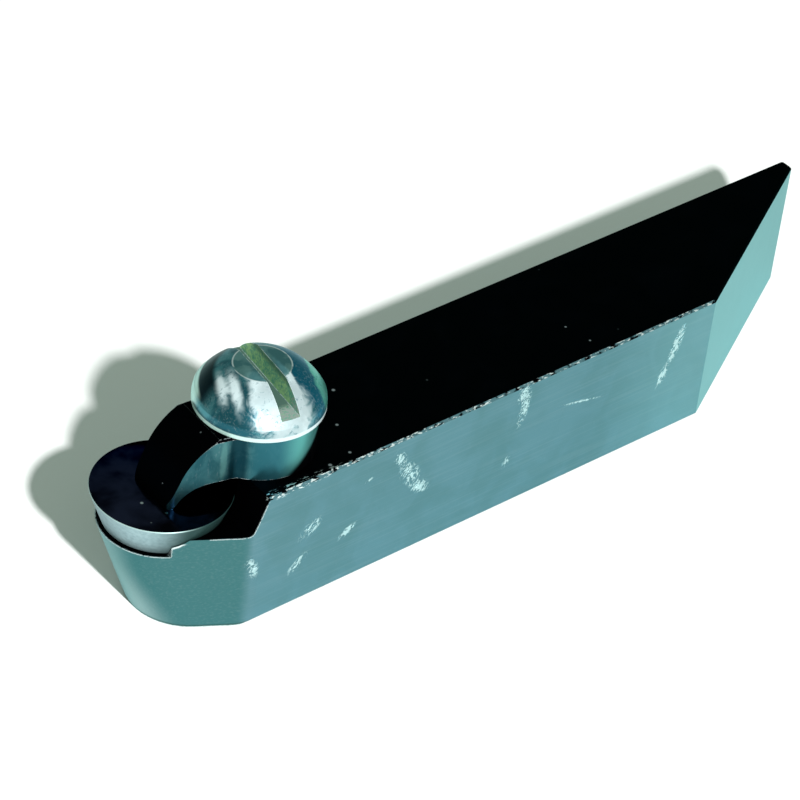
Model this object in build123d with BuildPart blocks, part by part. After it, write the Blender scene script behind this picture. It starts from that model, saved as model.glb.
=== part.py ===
from build123d import *
import os
from math import cos, radians, sin, tan

# Lathe tool holder: a square bar whose nose carries a round cutting insert.
# A clamp of one piece, a boss with a claw, bears on the insert under one
# slotted screw. Millimetres, Z up. The origin is on the underside of the bar,
# below the axis of the insert. X runs along the bar to its tail, and the side
# with the shorter edge is at -Y.

os.makedirs("parts", exist_ok=True)

# Bar
bar_height = 12.7
bar_width = 12.7
bar_shift = 1.6  # from the insert's axis to the middle of the bar, towards -Y
tail_near_x = 54.6  # where the shorter side ends
tail_angle = 61.0  # from a square cut to the end face, in plan
tip_flat = 1.3  # the pointed far corner is ground off this wide
edge_break = 0.2
tail_round = 0.4

# Insert: a round button that narrows downwards
insert_radius = 6.0
insert_thickness = 3.175
insert_relief = 20.0

# Nose, with its heights measured down from the top of the bar
seat_drop = 5.1
deck_drop = 3.4
nose_radius = 5.3
nose_angle = 30.0  # each side of the nose to the bar, in plan
nose_relief = 19.5  # the front leans back below the insert
nose_blend = 4.0
ledge_x = -2.4  # forward of this line the nose ends at the seat
step_foot_x = 3.4
step_slope = 23.0  # from upright
step_blend = 0.5
pocket_gap = 0.1

# Clamp. The claw is drawn from the axis of the boss, along its own side view
clamp_x = 8.33  # the axis of the boss and of the screw
clamp_y = -1.43
boss_radius = 5.05
boss_height = 4.2
boss_edge = 0.2
claw_turn = 4.3  # its side view is turned this far from the bar's, in plan
claw_near = 3.84  # its near side passes the axis at this distance
claw_taper = 9.4  # and runs in by this angle
claw_far = 2.9
claw_root = 1.2  # hollow corner between the claw and the boss
claw_crest = 5.6  # the top is level up to here, then falls in an arc
claw_bulge = 0.48
claw_shoulder = 8.85  # where the arc ends and the straight tip begins
claw_shoulder_drop = 3.4
claw_toe = 9.95
claw_foot = 0.6  # the length that bears on the insert
claw_arch = 6.3  # from here the underside arches down to the foot
claw_near_corner = 1.0
claw_far_corner = 0.6

# Screw
screw_radius = 2.0
screw_length = 12.0
screw_point = 0.6
head_radius = 5.55
head_land = 1.05  # upright rim below the dome
head_edge = 0.15
dome_height = 3.3
flat_drop = 0.5  # the top of the dome is faced off flat this far down
slot_width = 1.7
slot_depth = 2.1
slot_turn = -9.0  # from the Y axis, in plan
clamp_bore_gap = 0.22
thread_gap = 0.05
hole_spare = 1.0
drill_half_angle = 59.0

# Heights and places that follow from the above
near_y = -bar_width / 2 - bar_shift
far_y = bar_width / 2 - bar_shift
tip_x = tail_near_x + (bar_width - tip_flat) * tan(radians(tail_angle))
seat_z = bar_height - seat_drop
deck_z = bar_height - deck_drop
insert_top = seat_z + insert_thickness
insert_foot_radius = insert_radius - insert_thickness * tan(radians(insert_relief))
head_seat = bar_height + boss_height
screw_end = head_seat - screw_length
rim_z = head_seat + head_land
dome_top = rim_z + dome_height
head_top = dome_top - flat_drop
slot_floor = head_top - slot_depth
clear = 4 * bar_height  # cutting shapes reach this far past the bar
screw_axis = Axis((clamp_x, clamp_y, 0), (0, 0, 1))

# Holder: bar and nose, milled from one piece
with BuildPart() as holder:
    with BuildSketch():
        Polygon(
            (-clear, near_y),
            (tail_near_x, near_y),
            (tip_x, far_y - tip_flat),
            (tip_x, far_y),
            (-clear, far_y),
        )
    extrude(amount=bar_height)
    tail_edges = holder.edges().filter_by(Axis.Z).sort_by(Axis.X)[-3:]
    fillet(tail_edges, radius=tail_round)
    chamfer(holder.edges().filter_by(Axis.X), length=edge_break)

    # The nose is a V in plan, leaning along its near side, which stays upright
    lean = tan(radians(nose_relief))
    lean_x = -lean * cos(radians(nose_angle))
    lean_y = lean * sin(radians(nose_angle))
    with BuildSketch():
        with Locations((-seat_z * lean_x, -seat_z * lean_y)):
            Circle(nose_radius)
        with BuildLine():
            start = Vector(-seat_z * lean_x, -seat_z * lean_y)
            far_tangent = start + Vector(0, nose_radius).rotate(Axis.Z, nose_angle)
            near_tangent = start + Vector(0, -nose_radius).rotate(Axis.Z, -nose_angle)
            far_run = PolarLine(far_tangent, 3 * clear, nose_angle)
            near_run = PolarLine(near_tangent, 3 * clear, -nose_angle)
            Line(far_run @ 1, near_run @ 1)
            Polyline(far_tangent, start, near_tangent)
        make_face()
    lean_way = Vector(lean_x, lean_y, 1)
    extrude(amount=bar_height * lean_way.length, dir=lean_way, mode=Mode.INTERSECT)
    crease = holder.edges().filter_by(Axis.Z).sort_by(Axis.X)[0]
    fillet(crease, radius=nose_blend)

    # Deck around the insert, and the slanted step up to the top
    with BuildSketch(Plane.XZ):
        run = (clear - deck_z) * tan(radians(step_slope))
        Polygon(
            (-clear, deck_z),
            (step_foot_x, deck_z),
            (step_foot_x + run, clear),
            (-clear, clear),
        )
        step_foot = vertices().sort_by_distance((step_foot_x, deck_z))[0]
        fillet(step_foot, radius=step_blend)
    extrude(amount=clear, both=True, mode=Mode.SUBTRACT)

    # Front ledge at the level of the seat
    with BuildSketch(Plane.XY.offset(seat_z)):
        with Locations((ledge_x, 0)):
            Rectangle(clear, clear, align=(Align.MAX, Align.CENTER))
    extrude(amount=clear, mode=Mode.SUBTRACT)

    # Pocket: its wall follows the insert and stands upright above it
    with BuildSketch(Plane.XZ):
        Polygon(
            (0, seat_z),
            (insert_foot_radius + pocket_gap, seat_z),
            (insert_radius + pocket_gap, insert_top),
            (insert_radius + pocket_gap, clear),
            (0, clear),
        )
    revolve(axis=Axis.Z, mode=Mode.SUBTRACT)

    # Tapped hole, drilled from the top
    hole_radius = screw_radius + thread_gap
    hole_end = screw_end - hole_spare
    with BuildSketch(Plane.XZ.offset(-clamp_y)):
        Polygon(
            (clamp_x, clear),
            (clamp_x, hole_end - hole_radius / tan(radians(drill_half_angle))),
            (clamp_x + hole_radius, hole_end),
            (clamp_x + hole_radius, clear),
        )
    revolve(axis=screw_axis, mode=Mode.SUBTRACT)

# Insert: one sintered and ground button
with BuildPart() as insert:
    with BuildSketch(Plane.XZ):
        Polygon(
            (0, seat_z),
            (insert_foot_radius, seat_z),
            (insert_radius, insert_top),
            (0, insert_top),
        )
    revolve(axis=Axis.Z)

# Clamp: boss and claw in one piece. The claw is its plan and its side view,
# crossed; both start at the axis of the boss
with BuildPart() as clamp:
    claw_way = (-cos(radians(claw_turn)), sin(radians(claw_turn)), 0)
    claw_across = (sin(radians(claw_turn)), cos(radians(claw_turn)), 0)
    with BuildSketch(Plane((clamp_x, clamp_y, insert_top), x_dir=claw_way)):
        toe_near = claw_near - claw_toe * tan(radians(claw_taper))
        Polygon(
            (0, -claw_far),
            (claw_toe, -claw_far),
            (claw_toe, toe_near),
            (0, claw_near),
        )
        fillet(vertices().sort_by_distance((claw_toe, toe_near))[0], radius=claw_near_corner)
        fillet(vertices().sort_by_distance((claw_toe, -claw_far))[0], radius=claw_far_corner)
    extrude(amount=head_seat - insert_top)

    with BuildSketch(Plane((clamp_x, clamp_y, 0), x_dir=claw_way, z_dir=claw_across)):
        with BuildLine():
            crest = Vector(claw_crest, head_seat)
            shoulder = Vector(claw_shoulder, head_seat - claw_shoulder_drop)
            swell = (shoulder - crest).normalized().rotate(Axis.Z, 90) * claw_bulge
            ThreePointArc(crest, (crest + shoulder) * 0.5 + swell, shoulder)
            Polyline(
                shoulder,
                (claw_toe, insert_top),
                (claw_toe - claw_foot, insert_top),
            )
            TangentArc(
                (claw_arch, bar_height),
                (claw_toe - claw_foot, insert_top),
                tangent=(1, 0),
            )
            Polyline(
                (claw_arch, bar_height),
                (0, bar_height),
                (0, head_seat),
                crest,
            )
        make_face()
    extrude(amount=clear, both=True, mode=Mode.INTERSECT)

    with BuildSketch(Plane.XY.offset(bar_height)):
        with Locations((clamp_x, clamp_y)):
            Circle(boss_radius)
    extrude(amount=boss_height)
    full_height = clamp.edges().filter_by(Axis.Z).group_by(SortBy.LENGTH)[-1]
    hollow_corners = full_height.sort_by(Axis.X)[:2]
    fillet(hollow_corners, radius=claw_root)
    boss_rim = clamp.edges().filter_by(GeomType.CIRCLE).group_by(Axis.Z)[-1]
    chamfer(boss_rim, length=boss_edge)
    with Locations((clamp_x, clamp_y, head_seat)):
        Hole(screw_radius + clamp_bore_gap)

# Clamp screw: broad head, domed like the cap of a ball, its top faced flat
with BuildPart() as clamp_screw:
    with BuildSketch(Plane.XZ.offset(-clamp_y)):
        with BuildLine():
            TangentArc((clamp_x, dome_top), (clamp_x + head_radius, rim_z), tangent=(1, 0))
            Polyline(
                (clamp_x + head_radius, rim_z),
                (clamp_x + head_radius, head_seat),
                (clamp_x + screw_radius, head_seat),
                (clamp_x + screw_radius, screw_end + screw_point),
                (clamp_x + screw_radius - screw_point, screw_end),
                (clamp_x, screw_end),
                (clamp_x, dome_top),
            )
        make_face()
        with Locations((clamp_x, head_top)):
            Rectangle(clear, clear, align=(Align.CENTER, Align.MIN), mode=Mode.SUBTRACT)
    revolve(axis=screw_axis)
    head_circles = clamp_screw.edges().filter_by(GeomType.CIRCLE).sort_by(SortBy.RADIUS)[-2:]
    fillet(head_circles, radius=head_edge)
    with BuildSketch(Plane.XY.offset(slot_floor)):
        with Locations(Location((clamp_x, clamp_y, 0), (0, 0, slot_turn))):
            Rectangle(slot_width, clear)
    extrude(amount=clear, mode=Mode.SUBTRACT)

holder.part.label = "holder"
insert.part.label = "insert"
clamp.part.label = "clamp"
clamp_screw.part.label = "clamp_screw"
export_step(holder.part, "parts/holder.step")
export_step(insert.part, "parts/insert.step")
export_step(clamp.part, "parts/clamp.step")
export_step(clamp_screw.part, "parts/clamp_screw.step")
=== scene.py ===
import bpy
from math import cos, hypot, pi, radians, sin
from mathutils import Euler, Matrix, Vector


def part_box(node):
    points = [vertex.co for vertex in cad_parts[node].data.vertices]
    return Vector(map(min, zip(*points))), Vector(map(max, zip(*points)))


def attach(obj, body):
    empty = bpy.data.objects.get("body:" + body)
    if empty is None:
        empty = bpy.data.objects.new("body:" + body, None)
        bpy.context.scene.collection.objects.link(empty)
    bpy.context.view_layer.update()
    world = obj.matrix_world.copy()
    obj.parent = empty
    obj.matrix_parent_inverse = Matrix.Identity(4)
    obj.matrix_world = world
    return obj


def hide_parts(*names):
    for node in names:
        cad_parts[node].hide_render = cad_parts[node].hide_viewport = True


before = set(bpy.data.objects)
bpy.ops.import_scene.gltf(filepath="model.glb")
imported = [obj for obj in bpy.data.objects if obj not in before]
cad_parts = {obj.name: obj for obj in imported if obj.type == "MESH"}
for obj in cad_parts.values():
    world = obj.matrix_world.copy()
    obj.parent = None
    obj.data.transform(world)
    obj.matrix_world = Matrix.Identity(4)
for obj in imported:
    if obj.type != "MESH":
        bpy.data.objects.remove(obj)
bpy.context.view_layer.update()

# Holder. One square bar of tool steel, milled and ground, with a tapped hole
# for the screw. Its sides are satin and bear the nicks of use, and its upward
# faces are smooth and carry a painted dark reflection.


def seen(red, green, blue):
    """A colour as the eye sees it, 0 to 255, turned into the shader's scale."""
    return tuple((part / 255 / 12.92) if part < 11 else ((part / 255 + 0.055) / 1.055) ** 2.4
                 for part in (red, green, blue)) + (1.0,)


def join(tree, socket, value):
    """Joins a node's output to the socket, or sets the socket to a value."""
    if isinstance(value, bpy.types.NodeSocket):
        tree.links.new(value, socket)
    else:
        socket.default_value = value


def start_metal(name, edge_tint):
    """A metal whose colour, roughness and bump are joined later."""
    metal = bpy.data.materials.new(name)
    metal.use_nodes = True
    tree = metal.node_tree
    shader = tree.nodes["Principled BSDF"]
    shader.inputs["Metallic"].default_value = 1.0
    shader.inputs["Specular Tint"].default_value = edge_tint
    return metal, tree, shader


def dress(node, metal):
    """Gives a node's own mesh its material."""
    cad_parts[node].data.materials.clear()
    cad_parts[node].data.materials.append(metal)


def work(tree, kind, first, second=0.0):
    """One sum on numbers, held between 0 and 1 where kind starts with CLAMP."""
    node = tree.nodes.new("ShaderNodeMath")
    node.use_clamp = kind.startswith("CLAMP_")
    node.operation = kind.replace("CLAMP_", "")
    join(tree, node.inputs[0], first)
    join(tree, node.inputs[1], second)
    return node.outputs[0]


def times(tree, *values):
    """The product of several numbers."""
    product = values[0]
    for value in values[1:]:
        product = work(tree, "MULTIPLY", product, value)
    return product


def rise(tree, value, low, high):
    """0 at low, 1 at high and smooth between them. Low may be the larger."""
    node = tree.nodes.new("ShaderNodeMapRange")
    node.interpolation_type = "SMOOTHSTEP"
    join(tree, node.inputs["Value"], value)
    node.inputs["From Min"].default_value = min(low, high)
    node.inputs["From Max"].default_value = max(low, high)
    node.inputs["To Min"].default_value = 0.0 if low < high else 1.0
    node.inputs["To Max"].default_value = 1.0 if low < high else 0.0
    return node.outputs["Result"]


def mingle(tree, share, first, second):
    """The second colour laid over the first by its share."""
    node = tree.nodes.new("ShaderNodeMix")
    node.data_type = "RGBA"
    join(tree, node.inputs[0], share)
    join(tree, node.inputs[6], first)
    join(tree, node.inputs[7], second)
    return node.outputs[2]


def millimetres(tree):
    """The place on the piece in millimetres."""
    place = tree.nodes.new("ShaderNodeTexCoord").outputs["Object"]
    node = tree.nodes.new("ShaderNodeMapping")
    node.inputs["Scale"].default_value = (1000, 1000, 1000)
    join(tree, node.inputs["Vector"], place)
    return node.outputs["Vector"]


def parts_of(tree, vector):
    """The three numbers of a vector."""
    node = tree.nodes.new("ShaderNodeSeparateXYZ")
    join(tree, node.inputs["Vector"], vector)
    return node.outputs


def facing(tree):
    """Which way the surface looks, in the piece's own axes."""
    return parts_of(tree, tree.nodes.new("ShaderNodeTexCoord").outputs["Normal"])


def local(tree, place, centre, half_size, turn=(0, 0, 0)):
    """The place seen from a centre, turned by degrees, in units of half_size."""
    node = tree.nodes.new("ShaderNodeMapping")
    node.vector_type = "TEXTURE"
    node.inputs["Location"].default_value = centre
    node.inputs["Rotation"].default_value = tuple(radians(part) for part in turn)
    node.inputs["Scale"].default_value = half_size
    join(tree, node.inputs["Vector"], place)
    return node.outputs["Vector"]


def stretched(tree, place, lump, turn=(0, 0, 0)):
    """The place in units of a lump's three sizes, turned by degrees."""
    return local(tree, place, (0, 0, 0), lump, turn)


def reach_from(tree, place, centre, half_size, turn=(0, 0, 0)):
    """How far the place is from a centre, in units of half_size."""
    node = tree.nodes.new("ShaderNodeVectorMath")
    node.operation = "LENGTH"
    join(tree, node.inputs[0], local(tree, place, centre, half_size, turn))
    return node.outputs["Value"]


def heap(tree, masks):
    """The sum of several masks, held at 1."""
    total = masks[0]
    for mask in masks[1:]:
        total = work(tree, "CLAMP_ADD", total, mask)
    return total


def noise(tree, place, grain, detail=3.0, waver=0.0):
    """Cloudy noise whose lumps are about one grain across."""
    node = tree.nodes.new("ShaderNodeTexNoise")
    join(tree, node.inputs["Vector"], place)
    node.inputs["Scale"].default_value = 1.0 / grain
    node.inputs["Detail"].default_value = detail
    node.inputs["Distortion"].default_value = waver
    return node.outputs["Fac"]


def slivers(tree, place, grain, thin, waver=1.0):
    """Thin broken lines: the places where a noise passes its middle."""
    cloud = noise(tree, place, grain, 4.0, waver)
    off_middle = work(tree, "ABSOLUTE", work(tree, "SUBTRACT", cloud, 0.5))
    return rise(tree, off_middle, thin, thin * 0.35)


def specks(tree, place, spacing, size, share):
    """Round specks, about one to a spacing, kept for a share of their places."""
    cells = tree.nodes.new("ShaderNodeTexVoronoi")
    join(tree, cells.inputs["Vector"], place)
    cells.inputs["Scale"].default_value = 1.0 / spacing
    near = rise(tree, cells.outputs["Distance"], size / spacing, 0.4 * size / spacing)
    pick = tree.nodes.new("ShaderNodeSeparateColor")
    join(tree, pick.inputs["Color"], cells.outputs["Color"])
    kept = rise(tree, pick.outputs["Red"], share, share - 0.01)
    return work(tree, "MULTIPLY", near, kept)


def motes(tree, place, height, spots):
    """Dust motes at given places, as x, y and radius."""
    lot = []
    for mote_x, mote_y, radius in spots:
        reach = reach_from(tree, place, (mote_x, mote_y, height), (radius, radius, 1.0))
        lot.append(rise(tree, reach, 1.2, 0.5))
    return heap(tree, lot)


def sharp_edges(tree, radius):
    """1 on the sharp edges of the piece, 0 elsewhere."""
    rounded = tree.nodes.new("ShaderNodeBevel")
    rounded.samples = 6
    rounded.inputs["Radius"].default_value = radius
    flat = tree.nodes.new("ShaderNodeNewGeometry").outputs["Normal"]
    turned = tree.nodes.new("ShaderNodeVectorMath")
    turned.operation = "DOT_PRODUCT"
    join(tree, turned.inputs[0], rounded.outputs["Normal"])
    join(tree, turned.inputs[1], flat)
    return rise(tree, turned.outputs["Value"], 0.985, 0.90)


def finish_surface(tree, shader, colour, roughness, height, depth):
    """Joins the colour, the roughness and a bump of the given depth."""
    join(tree, shader.inputs["Base Color"], colour)
    join(tree, shader.inputs["Roughness"], roughness)
    bump = tree.nodes.new("ShaderNodeBump")
    bump.inputs["Distance"].default_value = depth
    join(tree, bump.inputs["Height"], height)
    join(tree, shader.inputs["Normal"], bump.outputs["Normal"])


mm = 0.001
low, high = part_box("holder")

# Places on the holder that its finish follows, in millimetres
near_side = low[1] / mm
top = high[2] / mm
pale_from, pale_to = 40.0, 54.0  # the bar grows paler between these, towards its tail
foot_shadow_top = 0.32  # the dark line along the foot of the bar starts this high
seat = 7.6
deck = 9.3
pocket_reach = 6.6  # the wall of the pocket is nearer than this to the insert's axis
bevel_drop = 0.5
endless = 1e6  # a half size that leaves its direction out
holder_edge_width = 0.20 * mm
knock_depth = 0.04 * mm

satin_steel = seen(101, 140, 150)
dull_steel = seen(92, 131, 136)
nose_shade_steel = seen(70, 118, 121)
front_reflection_steel = seen(208, 226, 226)
pale_steel = seen(126, 172, 178)
tail_reflection_steel = seen(164, 200, 203)
foot_shadow_steel = seen(46, 82, 76)
knock_steel = seen(196, 226, 228)
bright_steel = seen(232, 244, 246)
# Painted dark reflection and painted shade for the faces that look black
painted_black_steel = seen(5, 5, 7)
top_reflection_haze = seen(13, 13, 19)
dust = seen(190, 196, 205)

steel, tree, shader = start_metal("ground_steel", seen(150, 190, 190))
place = millimetres(tree)
way = facing(tree)
x, y, z = parts_of(tree, place)

# Faint grinding marks run along the bar, and cloudy patches lie under them.
# The nose carries painted shade and a painted reflection as a pale band down its front, the bar
# grows paler towards its tail, whose end face carries a painted reflection, and a painted contact
# shadow follows the foot of the bar
ground = noise(tree, stretched(tree, place, (9.0, 0.16, 0.16)), 1.0, 4.0)
cloud = noise(tree, place, 4.5, 5.0, 0.8)
grit = noise(tree, place, 0.30, 3.0)
side = mingle(tree, times(tree, rise(tree, cloud, 0.36, 0.66), 0.6), satin_steel, dull_steel)
# Painted shade on the faces of the nose that look towards the tip
nose = rise(tree, way["X"], -0.12, -0.42)
side = mingle(tree, nose, side, nose_shade_steel)
# A painted reflection lays a pale band down the front of the nose
round_nose = work(tree, "ADD", way["Y"], times(tree, rise(tree, z, 6.0, 0.0), 0.3))
front = times(tree, rise(tree, round_nose, -0.50, 0.30), rise(tree, way["X"], -0.3, -0.6), 0.55)
side = mingle(tree, front, side, front_reflection_steel)
side = mingle(tree, times(tree, rise(tree, x, pale_from, pale_to), 0.5), side, pale_steel)
# A painted reflection lightens the end face of the tail
side = mingle(tree, rise(tree, way["X"], 0.15, 0.40), side, tail_reflection_steel)
side = mingle(tree, times(tree, rise(tree, ground, 0.45, 0.75), 0.035), side, bright_steel)
side = mingle(tree, times(tree, rise(tree, grit, 0.60, 0.80), 0.02), side, bright_steel)
# A painted contact shadow darkens the foot of the bar
side = mingle(tree, times(tree, rise(tree, z, foot_shadow_top, foot_shadow_top - 0.20), 0.7), side, foot_shadow_steel)

# Knocks on the near side: x, z, half length, half width, slope, strength
knocks = (
    (32.3, 11.7, 1.3, 1.00, 84, 1.6),
    (32.5, 9.9, 2.3, 0.70, 76, 1.6),
    (18.8, 10.6, 1.6, 0.9, -60, 0.9),
    (20.0, 8.6, 2.2, 1.3, -55, 1.1),
    (21.3, 6.7, 1.7, 1.0, -30, 1.0),
    (50.4, 9.6, 2.8, 0.8, 72, 1.1),
    (49.2, 6.6, 1.8, 0.8, 70, 0.9),
    (39.4, 8.0, 3.8, 0.22, -12, 0.7),
    (31.2, 4.9, 1.0, 0.6, 60, 0.6),
    (9.5, 7.4, 2.0, 1.0, 35, 0.8),
    (13.6, 5.3, 1.6, 0.6, 30, 0.8),
    (8.4, 4.2, 1.8, 0.7, 40, 0.8),
    (3.6, 5.9, 1.8, 0.9, -70, 0.7),
    (15.5, 9.9, 0.8, 0.3, 25, 0.6),
)
torn = slivers(tree, stretched(tree, place, (1.0, 1.0, 0.55), (0, -40, 0)), 1.3, 0.035, 1.5)
flaked = noise(tree, stretched(tree, place, (1.2, 0.6, 0.6), (0, -60, 0)), 0.5, 4.5, 0.8)
marks = []
for knock_x, knock_z, half_long, half_wide, slope, strength in knocks:
    reach = reach_from(tree, place, (knock_x, near_side, knock_z),
                       (half_long, 1.0, half_wide), (0, -slope, 0))
    core = rise(tree, reach, 1.0, 0.2)
    flake = rise(tree, work(tree, "ADD", flaked, times(tree, core, 0.24)), 0.68, 0.80)
    marks.append(times(tree, core, strength, work(tree, "CLAMP_ADD", flake, torn)))
marks = heap(tree, marks)
side = mingle(tree, times(tree, rise(tree, marks, 0.08, 0.70), 0.9), side, knock_steel)

# Upward faces and the slanted step carry a painted dark reflection, the wall of the pocket painted
# shade, and all are black and smooth
upward = rise(tree, way["Z"], 0.22, 0.34)
reach = reach_from(tree, place, (0, 0, 0), (pocket_reach, pocket_reach, endless))
inward = work(tree, "ADD", times(tree, x, way["X"]), times(tree, y, way["Y"]))
pocket = times(tree, rise(tree, reach, 1.0, 0.99), rise(tree, z, seat - 0.2, seat),
               rise(tree, inward, -0.5, -1.0))
painted_dark = work(tree, "CLAMP_ADD", upward, pocket)
settled = specks(tree, place, 1.7, 0.15, 0.13)
near_head = rise(tree, reach_from(tree, place, (13.0, -4.0, top), (9.0, 6.0, 3.0)), 1.3, 0.4)
settled = times(tree, settled, work(tree, "ADD", times(tree, near_head, 0.5), 0.14))
seen_motes = motes(tree, place, top, (
    (18.1, 0.4, 0.17),
    (15.4, -3.4, 0.15),
    (14.0, -6.8, 0.15),
    (40.7, -3.6, 0.11),
    (41.2, -6.2, 0.11),
    (11.6, -7.2, 0.18),
))
haze = times(tree, rise(tree, cloud, 0.45, 0.75), 0.35)
painted_black_and_dust = mingle(tree, haze, painted_black_steel, top_reflection_haze)
dusty = work(tree, "CLAMP_ADD", settled, times(tree, seen_motes, 0.8))
painted_black_and_dust = mingle(tree, dusty, painted_black_and_dust, dust)
colour = mingle(tree, painted_dark, side, painted_black_and_dust)

# The rims of the nose and the step are worn and carry a painted edge highlight, but not the
# pocket's own.
# The bevel along the near top edge is satin, broken by nicks and bright chips,
# and the edge is chipped beside the head
chips = noise(tree, stretched(tree, place, (0.45, 0.16, 0.16)), 1.0, 3.0)
edges = sharp_edges(tree, holder_edge_width)
below_top = rise(tree, z, top - bevel_drop, top - bevel_drop - 0.2)
pocket_rim = times(tree, rise(tree, reach, 0.955, 0.945), rise(tree, z, deck - 0.5, deck - 0.3))
off_pocket = work(tree, "SUBTRACT", 1.0, pocket_rim)
worn_and_highlit = times(tree, edges, below_top, off_pocket, rise(tree, chips, 0.30, 0.46))
bevelled = times(tree, rise(tree, way["Y"], -0.3, -0.5), rise(tree, way["Z"], 0.3, 0.5),
                 rise(tree, way["X"], 0.2, 0.1))
nicked = noise(tree, stretched(tree, place, (1.0, 0.6, 0.6)), 1.0, 4.0)
colour = mingle(tree, times(tree, bevelled, rise(tree, nicked, 0.60, 0.50)), colour, satin_steel)
worn_and_highlit = work(tree, "CLAMP_ADD", worn_and_highlit, times(tree, bevelled, rise(tree, chips, 0.54, 0.62)))
beside_head = rise(tree, reach_from(tree, place, (7.0, near_side, top), (7.5, 0.9, 0.5)), 1.0, 0.6)
worn_and_highlit = work(tree, "CLAMP_ADD", worn_and_highlit, times(tree, beside_head, rise(tree, chips, 0.55, 0.63)))
colour = mingle(tree, worn_and_highlit, colour, bright_steel)

rough_side = work(tree, "ADD", 0.30, times(tree, cloud, 0.14))
rough = work(tree, "ADD", rough_side, times(tree, painted_dark, 0.10))
grinding = times(tree, ground, work(tree, "SUBTRACT", 0.10, times(tree, nose, 0.09)))
relief = work(tree, "ADD", work(tree, "ADD", grinding, marks), times(tree, grit, 0.01))
finish_surface(tree, shader, colour, rough, relief, knock_depth)
dress("holder", steel)

# Insert. One button of sintered carbide: its top is polished and carries a painted
# dark reflection, its conical flank is ground bright, and the cutting edge has a
# narrow honed land. It sits in the pocket under the claw, with nothing else to hold it.
insert_radius = 6.0 * mm
foot_radius = 4.844 * mm
seat_height = seat * mm
button_top = 10.775 * mm
land = 0.12 * mm
foot_break = 0.15 * mm
ring_depth = 0.006 * mm
smooth_below = radians(25)  # edges between flatter faces than this look round
hair = 0.0005 * mm  # places nearer than this count as one


def settle(name):
    """Names the new piece and puts its place into its mesh."""
    piece = bpy.context.active_object
    piece.name = name
    bpy.ops.object.transform_apply(location=True, rotation=True, scale=True)
    return piece


def pick(piece, kind, wanted):
    """Selects the vertices, edges or faces that the test on their middle accepts."""
    bpy.ops.object.mode_set(mode="EDIT")
    bpy.ops.mesh.select_mode(type=kind)
    bpy.ops.mesh.select_all(action="DESELECT")
    bpy.ops.object.mode_set(mode="OBJECT")
    mesh = piece.data
    points = mesh.vertices
    if kind == "VERT":
        for point in points:
            point.select = wanted(point.co)
    elif kind == "EDGE":
        for edge in mesh.edges:
            first, second = (points[number].co for number in edge.vertices)
            edge.select = wanted((first + second) / 2)
    else:
        for face in mesh.polygons:
            face.select = wanted(face.center)
    bpy.ops.object.mode_set(mode="EDIT")


bpy.ops.object.select_all(action="DESELECT")
bpy.ops.mesh.primitive_cone_add(vertices=192, radius1=foot_radius, radius2=insert_radius,
                                depth=button_top - seat_height,
                                location=(0, 0, (button_top + seat_height) / 2))
button = settle("insert_body")
pick(button, "EDGE", lambda middle: abs(middle.z - button_top) < 2 * hair)
bpy.ops.mesh.bevel(offset=land, segments=3)
pick(button, "EDGE", lambda middle: abs(middle.z - seat_height) < 2 * hair)
bpy.ops.mesh.bevel(offset=foot_break, segments=2)
bpy.ops.object.mode_set(mode="OBJECT")
bpy.ops.object.shade_smooth_by_angle(angle=smooth_below)

painted_black_carbide = seen(10, 11, 18)
carbide_reflection_haze = seen(53, 58, 86)
flank_light = seen(160, 186, 191)
flank_grey = seen(136, 161, 167)
flank_shade = seen(44, 70, 68)
land_highlight = seen(176, 202, 200)

carbide, tree, shader = start_metal("cutting_carbide", seen(90, 105, 120))
place = millimetres(tree)
way = facing(tree)
z = parts_of(tree, place)["Z"]

# The flank has fine rings from grinding, and painted shade darkens it away from the front
cloud = noise(tree, place, 3.2, 3.0, 0.3)
ring = noise(tree, stretched(tree, place, (40, 40, 0.09)), 1.0, 3.0)
grain = noise(tree, place, 0.35, 3.0)
ringed = work(tree, "ADD", times(tree, ring, 0.5), times(tree, grain, 0.5))
flank = mingle(tree, rise(tree, ringed, 0.35, 0.7), flank_light, flank_grey)
flank = mingle(tree, rise(tree, way["X"], -0.82, -0.20), flank, flank_shade)

# The top carries a painted dark reflection, hazy in places, and has a few motes on it
haze = times(tree, rise(tree, cloud, 0.34, 0.68), 0.6)
face = mingle(tree, haze, painted_black_carbide, carbide_reflection_haze)
seen_motes = motes(tree, place, button_top / mm, (
    (-2.7, -0.9, 0.15),
    (-1.8, -3.0, 0.14),
    (3.0, -4.9, 0.16),
))
fine = specks(tree, place, 0.9, 0.10, 0.10)
face = mingle(tree, work(tree, "CLAMP_ADD", times(tree, fine, 0.35), seen_motes), face, dust)
upward = rise(tree, way["Z"], 0.85, 0.97)
colour = mingle(tree, upward, flank, face)
land_foot = (button_top - land) / mm
on_land = times(tree, rise(tree, z, land_foot - 0.01, land_foot + 0.01),
                rise(tree, way["Z"], 0.99, 0.94))
# A painted highlight on the honed land, towards the front
colour = mingle(tree, times(tree, on_land, rise(tree, way["X"], 0.0, -0.5), 0.8), colour, land_highlight)
rough = work(tree, "SUBTRACT", 0.42, times(tree, upward, 0.32))
finish_surface(tree, shader, colour, rough, work(tree, "ADD", ring, grain), ring_depth)
join(tree, shader.inputs["Metallic"], work(tree, "ADD", 0.5, times(tree, upward, 0.5)))
button.data.materials.append(carbide)
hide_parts("insert")
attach(button, "insert")

# Clamp. One milled steel piece, a round boss and a claw, held down by the screw
# through its boss. It is polished on its upright walls, and a painted dark
# reflection covers its back and tip.
claw_from, claw_to = 1.6, 2.4  # between these the painted shade on the claw fades out
boss_from, boss_to = 4.4, 5.4  # here the claw runs into the boss
lit_from, lit_to = 6.5, 9.2  # and here the boss turns to the light
mirror_line, mirror_slope = 7.6, 0.72
claw_edge_width = 0.10 * mm
mill_depth = 0.008 * mm

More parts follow.
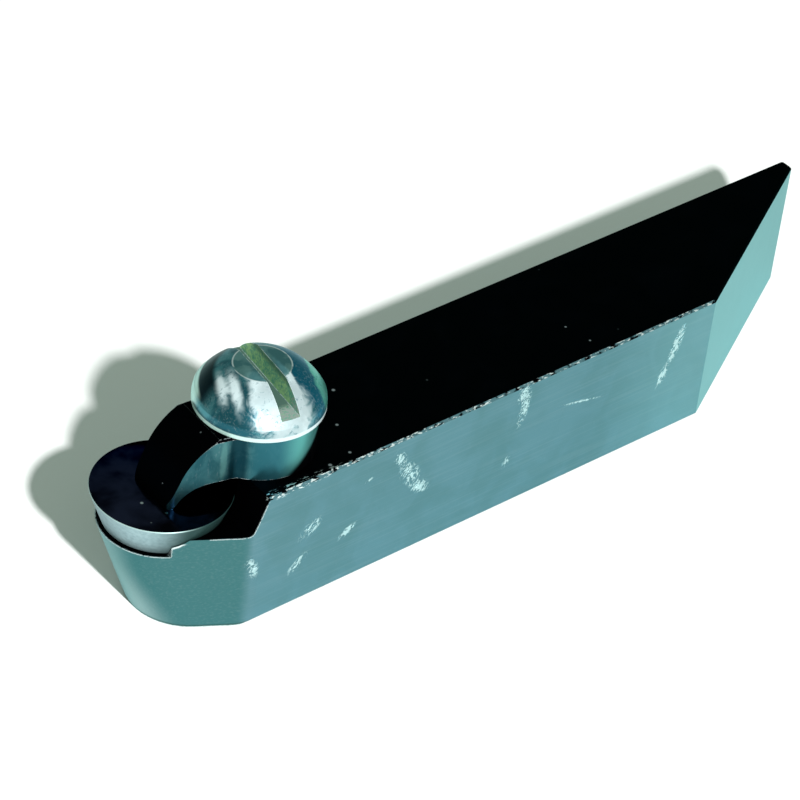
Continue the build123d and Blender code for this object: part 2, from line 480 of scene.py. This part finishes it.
wall_light = seen(70, 118, 124)
wall_deep = seen(46, 92, 100)
strip_highlight = seen(150, 214, 204)
wall_shade = seen(8, 46, 58)
claw_shade = seen(34, 78, 90)
boss_shade = seen(42, 98, 110)
boss_highlight = seen(100, 174, 168)

claw_steel, tree, shader = start_metal("clamp_steel", seen(120, 170, 175))
place = millimetres(tree)
way = facing(tree)
x, _, z = parts_of(tree, place)
cloud = noise(tree, place, 1.6, 4.0, 0.8)
grit = noise(tree, stretched(tree, place, (0.14, 0.14, 0.5)), 1.0, 3.0)
wall = mingle(tree, rise(tree, cloud, 0.35, 0.65), wall_light, wall_deep)
wall = mingle(tree, times(tree, rise(tree, grit, 0.58, 0.8), 0.12), wall, bright_steel)
# Painted shade darkens the boss, and a painted highlight lightens it where it turns to the light
wall = mingle(tree, times(tree, rise(tree, x, boss_from, boss_to), 0.85), wall, boss_shade)
wall = mingle(tree, times(tree, rise(tree, x, lit_from, lit_to), 0.8), wall, boss_highlight)

# Painted shade lies deep in the hollow corner, with a faint painted highlight as a strip beside it
corner = rise(tree, reach_from(tree, place, (4.0, -4.6, 14.0), (0.9, 3.0, 9.0)), 1.0, 0.5)
wall = mingle(tree, times(tree, corner, 0.85), wall, wall_shade)
strip = rise(tree, reach_from(tree, place, (2.9, -4.2, 14.8), (0.36, 3.0, 2.6)), 1.0, 0.5)
wall = mingle(tree, times(tree, strip, 0.18), wall, strip_highlight)
# Painted shade darkens the claw's wall towards its tip
claw_side = rise(tree, x, claw_to, claw_from)
wall = mingle(tree, times(tree, claw_side, 0.35), wall, claw_shade)

# Below a slanted line the boss mirrors the black top of the bar
slant = work(tree, "SUBTRACT", z, times(tree, x, mirror_slope))
mirrored = times(tree, rise(tree, slant, mirror_line, mirror_line - 0.8), rise(tree, x, 5.6, 6.4))
wall = mingle(tree, mirrored, wall, painted_black_steel)

# A painted dark reflection covers the back and the tip, and the edges are worn and carry a painted
# highlight
fine = specks(tree, place, 1.0, 0.11, 0.10)
back = mingle(tree, times(tree, fine, 0.4), painted_black_steel, dust)
tip = rise(tree, way["X"], -0.75, -0.9)
painted_dark = work(tree, "CLAMP_ADD", rise(tree, way["Z"], 0.15, 0.3), tip)
colour = mingle(tree, painted_dark, wall, back)
edges = sharp_edges(tree, claw_edge_width)
chips = noise(tree, place, 0.30, 3.0)
worn_and_highlit = times(tree, edges, rise(tree, chips, 0.38, 0.56), rise(tree, x, 0.6, 2.4),
             work(tree, "SUBTRACT", 0.8, times(tree, mirrored, 0.8)))
colour = mingle(tree, worn_and_highlit, colour, bright_steel)
rough = work(tree, "ADD", 0.34, times(tree, painted_dark, 0.06))
finish_surface(tree, shader, colour, rough, grit, mill_depth)
boss_lit = times(tree, rise(tree, x, boss_from, boss_from + 2.0), work(tree, "SUBTRACT", 1.0, painted_dark))
join(tree, shader.inputs["Metallic"], work(tree, "SUBTRACT", 1.0, times(tree, boss_lit, 0.24)))
dress("clamp", claw_steel)

# Clamp screw. One turned steel screw, zinc plated: a broad domed head, faced
# off flat on top, with a slot milled across it. Its thread runs through the
# clamp into the tapped hole of the bar.
screw_x = 8.33 * mm
screw_y = -1.43 * mm
head_seat = 16.9 * mm
rim_height = 17.95 * mm
head_top = 20.75 * mm
head_radius = 5.55 * mm
dome_radius = 6.317 * mm
dome_centre = 14.933 * mm
slot_width = 1.7 * mm
slot_floor = 18.65 * mm
slot_turn = -9.0
shank_radius = 2.0 * mm
screw_end = 4.9 * mm
screw_point = 0.6 * mm
pitch = 0.7 * mm
thread_root = 1.58 * mm
thread_top = 15.4 * mm
thread_gap = 0.02 * mm  # the blank is thinner than the teeth by this
crest_share = 0.12  # of the pitch, flat at the crest and at the root
turn_steps = 48
overlap = 0.4 * mm  # the stub under the head ends inside the thread by this
spare = 0.3 * mm  # the thread is longer than its blank by this at each end
foot_round = 0.12 * mm
rim_round = 0.45 * mm
slot_break = 0.09 * mm
tool_length = 14 * mm
tool_height = 4 * mm
head_wear = 0.10 * mm
pit_depth = 0.01 * mm
patch_middle, patch_reach = 19, 9  # in mm, so that a patch covers the head's whole height


def carve(piece, tool, kind):
    """Cuts, keeps or adds the tool's solid, and takes the tool away."""
    cut = piece.modifiers.new("cut", "BOOLEAN")
    cut.operation = kind
    cut.solver = "EXACT"
    cut.object = tool
    bpy.context.view_layer.objects.active = piece
    bpy.ops.object.modifier_apply(modifier="cut")
    bpy.data.objects.remove(tool)


def off_axis(point):
    """The distance from the axis of the screw."""
    return hypot(point.x - screw_x, point.y - screw_y)


# Head: the cap of a ball, faced off flat, on an upright rim
bpy.ops.object.select_all(action="DESELECT")
bpy.ops.mesh.primitive_uv_sphere_add(segments=128, ring_count=96, radius=dome_radius,
                                     location=(screw_x, screw_y, dome_centre))
head = settle("clamp_screw_body")
bpy.ops.object.mode_set(mode="EDIT")
bpy.ops.mesh.select_all(action="SELECT")
bpy.ops.mesh.bisect(plane_co=(0, 0, rim_height), plane_no=(0, 0, 1), threshold=hair,
                    clear_inner=True)
bpy.ops.mesh.select_all(action="SELECT")
bpy.ops.mesh.bisect(plane_co=(0, 0, head_top), plane_no=(0, 0, 1), threshold=hair,
                    clear_outer=True, use_fill=True)
pick(head, "EDGE", lambda middle: abs(middle.z - rim_height) < 2 * hair)
bpy.ops.mesh.extrude_region_move(TRANSFORM_OT_translate={"value": (0, 0, head_seat - rim_height)})
bpy.ops.mesh.extrude_region_move(TRANSFORM_OT_translate={"value": (0, 0, 0)})
bpy.ops.transform.resize(value=(shank_radius / head_radius, shank_radius / head_radius, 1),
                         center_override=(screw_x, screw_y, head_seat))
stub_length = head_seat - thread_top + overlap
bpy.ops.mesh.extrude_region_move(TRANSFORM_OT_translate={"value": (0, 0, -stub_length)})
bpy.ops.mesh.fill()
pick(head, "EDGE", lambda middle: (off_axis(middle) > head_radius - 0.01 * mm
                                   and abs(middle.z - head_seat) < 2 * hair))
bpy.ops.mesh.bevel(offset=foot_round, segments=3)
pick(head, "EDGE", lambda middle: abs(middle.z - rim_height) < 2 * hair)
bpy.ops.mesh.bevel(offset=rim_round, segments=6)
pick(head, "FACE", lambda middle: True)
bpy.ops.mesh.normals_make_consistent(inside=False)
bpy.ops.object.mode_set(mode="OBJECT")

# Slot, milled straight across, and all the edges of the head broken a little
bpy.ops.mesh.primitive_cube_add(size=1, rotation=(0, 0, radians(slot_turn)),
                                location=(screw_x, screw_y, slot_floor + tool_height / 2),
                                scale=(slot_width, tool_length, tool_height))
slot_tool = settle("slot_tool")
carve(head, slot_tool, "DIFFERENCE")
soften = head.modifiers.new("soften", "BEVEL")
soften.width = slot_break
soften.segments = 2
soften.limit_method = "ANGLE"
soften.angle_limit = radians(18)
bpy.ops.object.modifier_apply(modifier="soften")

# Thread: a zigzag of teeth, screwed one turn by one pitch, cut to a pointed blank
bpy.ops.object.select_all(action="DESELECT")
bpy.ops.mesh.primitive_circle_add(vertices=96, radius=shank_radius - thread_gap,
                                  fill_type="NGON", location=(screw_x, screw_y, screw_end))
blank = settle("thread_blank")
bpy.ops.object.mode_set(mode="EDIT")
bpy.ops.mesh.select_all(action="SELECT")
bpy.ops.mesh.extrude_region_move(TRANSFORM_OT_translate={"value": (0, 0, thread_top - screw_end)})
pick(blank, "EDGE", lambda middle: abs(middle.z - screw_end) < 2 * hair)
bpy.ops.mesh.bevel(offset=screw_point, segments=1)
bpy.ops.mesh.select_all(action="SELECT")
bpy.ops.mesh.normals_make_consistent(inside=False)
bpy.ops.object.mode_set(mode="OBJECT")

teeth = int((thread_top - screw_end) / pitch) + 3
bpy.ops.object.select_all(action="DESELECT")
bpy.ops.mesh.primitive_circle_add(vertices=3, radius=mm)
thread = bpy.context.active_object
thread.name = "thread_helix"
zigzag = []
for tooth in range(teeth):
    foot = screw_end - 2 * pitch + tooth * pitch
    zigzag += [(thread_root, 0, foot), (thread_root, 0, foot + crest_share * pitch),
               (shank_radius, 0, foot + 0.5 * pitch),
               (shank_radius, 0, foot + (0.5 + crest_share) * pitch)]
outline = bpy.data.meshes.new("thread_outline")
outline.from_pydata(zigzag, [(number, number + 1) for number in range(len(zigzag) - 1)], [])
thread.data = outline
twist = thread.modifiers.new("twist", "SCREW")
twist.axis = "Z"
twist.screw_offset = pitch
twist.steps = turn_steps
twist.render_steps = turn_steps
twist.use_merge_vertices = False
bpy.ops.object.modifier_apply(modifier="twist")
thread.location = (screw_x, screw_y, 0)
settle("thread_helix")
bpy.ops.object.mode_set(mode="EDIT")
bpy.ops.mesh.select_all(action="SELECT")
bpy.ops.mesh.remove_doubles(threshold=4 * hair)
bpy.ops.mesh.bisect(plane_co=(0, 0, screw_end - spare), plane_no=(0, 0, 1), threshold=hair,
                    clear_inner=True)
bpy.ops.mesh.select_all(action="SELECT")
bpy.ops.mesh.bisect(plane_co=(0, 0, thread_top + spare), plane_no=(0, 0, 1), threshold=hair,
                    clear_outer=True)
bpy.ops.mesh.select_all(action="SELECT")
bpy.ops.mesh.fill_holes(sides=0)
bpy.ops.mesh.normals_make_consistent(inside=False)
bpy.ops.object.mode_set(mode="OBJECT")
carve(thread, blank, "INTERSECT")
carve(head, thread, "UNION")
bpy.ops.object.mode_set(mode="EDIT")
bpy.ops.mesh.select_all(action="SELECT")
bpy.ops.mesh.remove_doubles(threshold=hair)
bpy.ops.mesh.normals_make_consistent(inside=False)
bpy.ops.object.mode_set(mode="OBJECT")
bpy.ops.object.shade_smooth_by_angle(angle=smooth_below)

zinc_white = seen(204, 219, 223)
zinc_low_highlight = seen(164, 179, 183)
zinc_teal = seen(78, 138, 148)
zinc_deep = seen(36, 92, 106)
zinc_blue = seen(8, 98, 124)
zinc_dark = seen(0, 22, 32)
zinc_green = seen(104, 196, 176)
rim_pale = seen(194, 229, 221)
flat_teal = seen(104, 148, 150)
flat_deep = seen(72, 120, 126)
slot_yellow = seen(182, 222, 162)
slot_green = seen(108, 174, 150)
slot_shade = seen(54, 96, 88)
slot_dark = seen(82, 110, 102)
slot_grey = seen(158, 170, 166)

zinc, tree, shader = start_metal("plated_zinc", seen(210, 232, 232))
place = millimetres(tree)
way = facing(tree)
z = parts_of(tree, place)["Z"]
on_head = local(tree, place, (screw_x / mm, screw_y / mm, 0), (1, 1, 1), (0, 0, slot_turn))
across, along, _ = parts_of(tree, on_head)
from_axis = reach_from(tree, on_head, (0, 0, 0), (1, 1, endless))
cloud = noise(tree, place, 1.5, 4.0, 0.8)
mottle = noise(tree, place, 0.9, 6.0, 1.0)
speckle = noise(tree, place, 0.22, 3.0, 0.6)


def patch(centre, half_size, turn=0.0, ragged=0.5, soft=0.5):
    """A ragged patch on the head, placed from its axis across and along the slot."""
    reach = reach_from(tree, on_head, centre + (patch_middle,), half_size + (patch_reach,),
                       (0, 0, turn))
    torn_edge = times(tree, work(tree, "SUBTRACT", mottle, 0.5), 2.0 * ragged)
    reach = work(tree, "ADD", reach, torn_edge)
    return rise(tree, reach, 1.0 + soft / 2, 1.0 - soft / 2)


# Painted reflections make the plating teal and blue, and a painted highlight makes it white on the
# near side
tint = mingle(tree, rise(tree, cloud, 0.36, 0.66), zinc_teal, zinc_deep)
tint = mingle(tree, patch((3.1, -1.2), (2.0, 3.6)), tint, zinc_blue)
tint = mingle(tree, times(tree, patch((4.5, -1.6), (0.8, 2.6), -8), 0.8), tint, zinc_green)
tint = mingle(tree, patch((-3.6, -2.8), (1.7, 1.9), 35), tint, zinc_deep)
grainy = times(tree, rise(tree, speckle, 0.46, 0.70), rise(tree, mottle, 0.36, 0.60), 0.16)
tint = mingle(tree, grainy, tint, zinc_white)
# Painted highlights on the dome
gleams = []
for centre, half_size, slope, ragged, soft in (
    ((-0.3, -4.1), (2.2, 1.7), 0, 0.7, 0.8),
    ((-1.6, -2.3), (0.8, 1.7), -10, 0.6, 0.9),
    ((1.2, -3.0), (0.34, 2.9), 0, 0.3, 0.7),
    ((-3.95, -0.5), (0.40, 1.3), -16, 0.5, 1.2),
    ((-3.25, -1.3), (0.42, 1.6), -12, 0.5, 1.2),
):
    gleams.append(patch(centre, half_size, slope, ragged, soft))
bright = heap(tree, gleams)
tint = mingle(tree, bright, tint, zinc_white)
# A painted highlight on the near side of the dome
low_highlight = mingle(tree, bright, tint, zinc_low_highlight)
tint = mingle(tree, patch((-0.4, -4.0), (2.6, 1.8), 0, 0.4, 0.8), tint, low_highlight)
worn_through = times(tree, rise(tree, speckle, 0.48, 0.36), rise(tree, mottle, 0.5, 0.62), 0.55)
tint = mingle(tree, worn_through, tint, zinc_deep)

# A painted dark reflection lies as a crescent on the far left of the dome, and a painted pale
# reflection as a skirt below it
leftward = work(tree, "SUBTRACT", times(tree, along, 0.6), times(tree, across, 0.8))
off_middle = reach_from(tree, on_head, (0.6, -0.8, 0), (1, 1, endless))
crescent = times(tree, rise(tree, off_middle, 4.5, 5.0), rise(tree, from_axis, 5.45, 5.25),
                 rise(tree, leftward, 2.4, 3.2), rise(tree, along, -1.2, 0.8))
tint = mingle(tree, crescent, tint, zinc_dark)
rim_reach = work(tree, "MAXIMUM", from_axis, work(tree, "SUBTRACT", off_middle, 0.65))
skirt = times(tree, rise(tree, rim_reach, 5.20, 5.40), rise(tree, along, 0.2, 1.6))
tint = mingle(tree, times(tree, skirt, 0.9), tint, rim_pale)

# The faced-off top carries a duller painted reflection inside a painted highlight ring; a painted
# reflection brightens the foot of the rim
flat_radius = (dome_radius ** 2 - (head_top - dome_centre) ** 2) ** 0.5 / mm
flat = rise(tree, from_axis, flat_radius, flat_radius - 0.03)
tint = mingle(tree, flat, tint, mingle(tree, rise(tree, cloud, 0.4, 0.6), flat_teal, flat_deep))
ring = times(tree, rise(tree, from_axis, flat_radius - 0.13, flat_radius - 0.06),
             rise(tree, from_axis, flat_radius + 0.05, flat_radius))
tint = mingle(tree, times(tree, ring, rise(tree, mottle, 0.30, 0.46)), tint, zinc_white)
foot = rise(tree, z, head_seat / mm + 0.52, head_seat / mm + 0.40)
foot_reflection = mingle(tree, rise(tree, way["X"], -0.4, -1.0), zinc_white, rim_pale)
tint = mingle(tree, foot, tint, foot_reflection)

# The slot's walls are greenish, with painted shade darker upwards. Its floor is dark, with
# bare grey metal at the near end
wall_side = slot_width / mm / 2
wall_foot = slot_floor / mm
wall_top = head_top / mm
off_slot = work(tree, "ABSOLUTE", across)
in_slot = times(tree, rise(tree, off_slot, wall_side + 0.02, wall_side + 0.005),
                rise(tree, z, wall_foot - 0.03, wall_foot - 0.01),
                rise(tree, from_axis, 5.12, 5.08))
stained = work(tree, "ADD", times(tree, cloud, 0.5), times(tree, speckle, 0.5))
walls = mingle(tree, rise(tree, stained, 0.40, 0.60), slot_yellow, slot_green)
shaded = times(tree, rise(tree, z, wall_top - 0.9, wall_top - 0.2), 0.7)
walls = mingle(tree, shaded, walls, slot_shade)
bare_end = times(tree, rise(tree, along, -2.9, -4.0), rise(tree, speckle, 0.62, 0.42))
walls = mingle(tree, bare_end, walls, slot_grey)
on_floor = rise(tree, way["Z"], 0.5, 0.8)
walls = mingle(tree, times(tree, on_floor, rise(tree, along, -4.2, -3.0)), walls, slot_dark)
bare_floor = times(tree, on_floor, rise(tree, along, -3.0, -3.9), rise(tree, speckle, 0.66, 0.42))
walls = mingle(tree, bare_floor, walls, slot_grey)
tint = mingle(tree, in_slot, tint, walls)

# The edges above the slot's floor are burred and bright, and the slot and the painted highlights
# and reflections are rougher and less metallic than the rest
edges = sharp_edges(tree, head_wear)
nicks = noise(tree, place, 0.35, 3.0)
burr = times(tree, edges, rise(tree, nicks, 0.34, 0.5), rise(tree, z, wall_foot - 0.1, wall_foot))
tint = mingle(tree, burr, tint, zinc_white)
rough = work(tree, "ADD", 0.26, times(tree, mottle, 0.20))
rough = work(tree, "ADD", rough, times(tree, work(tree, "CLAMP_ADD", in_slot, bright), 0.26))
finish_surface(tree, shader, tint, rough, mottle, pit_depth)
slot_and_highlights = work(tree, "CLAMP_ADD", in_slot, times(tree, work(tree, "CLAMP_ADD", bright, foot), 0.8))
join(tree, shader.inputs["Metallic"], work(tree, "SUBTRACT", 0.85, times(tree, slot_and_highlights, 0.5)))
head.data.materials.clear()
head.data.materials.append(zinc)
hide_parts("clamp_screw")
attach(head, "clamp_screw")

# Studio: a pale floor, one soft lamp from the front and an even sky
floor_size = 4.0
paper_white = (0.95, 0.95, 0.95, 1.0)
lamp_place = Vector((-88, -290, 255)) * mm
lamp_radius = 10 * mm
lamp_power = 1.0
lamp_strength = 60.0
sky_colour = (0.27, 0.34, 0.29, 1.0)

bpy.ops.mesh.primitive_plane_add(size=floor_size, location=(0, 0, 0))
floor = bpy.context.active_object
floor.name = "floor"
paper = bpy.data.materials.new("floor_paper")
paper.use_nodes = True
tree = paper.node_tree
shader = tree.nodes["Principled BSDF"]
shader.inputs["Specular IOR Level"].default_value = 0.0
shader.inputs["Roughness"].default_value = 1.0
shader.inputs["Base Color"].default_value = paper_white
floor.data.materials.append(paper)

lamp_light = bpy.data.lights.new("front_lamp", "POINT")
lamp_light.shadow_soft_size = lamp_radius
lamp_light.energy = lamp_power
lamp_light.use_nodes = True
tree = lamp_light.node_tree
even = tree.nodes.new("ShaderNodeLightFalloff")
even.inputs["Strength"].default_value = lamp_strength
tree.links.new(even.outputs["Constant"], tree.nodes["Emission"].inputs["Strength"])
lamp = bpy.data.objects.new("front_lamp", lamp_light)
lamp.location = lamp_place
bpy.context.collection.objects.link(lamp)

sky = bpy.data.worlds.new("sky")
sky.use_nodes = True
sky.node_tree.nodes["Background"].inputs["Color"].default_value = sky_colour
bpy.context.scene.world = sky

# Camera, at the viewing angle of the photograph
azimuth = radians(-44.185)
elevation = radians(37.615)
roll = radians(7.079)
distance = 331.54 * mm
aim = Vector((26.442, 0.916, 7.753)) * mm
focal = 3877.96
image_width = 800
sensor_width = 36.0
back_to_lens = Vector((sin(azimuth) * cos(elevation), -cos(azimuth) * cos(elevation),
                       sin(elevation)))
turn = Euler((pi / 2 - elevation, 0, azimuth)).to_matrix() @ Matrix.Rotation(roll, 3, "Z")
camera_data = bpy.data.cameras.new("camera")
camera_data.sensor_width = sensor_width
camera_data.lens = focal / image_width * sensor_width
camera_data.clip_start = 10 * mm
camera = bpy.data.objects.new("camera", camera_data)
camera.location = aim + back_to_lens * distance
camera.rotation_euler = turn.to_euler()
bpy.context.collection.objects.link(camera)
scene = bpy.context.scene
scene.camera = camera
scene.view_settings.view_transform = "Standard"
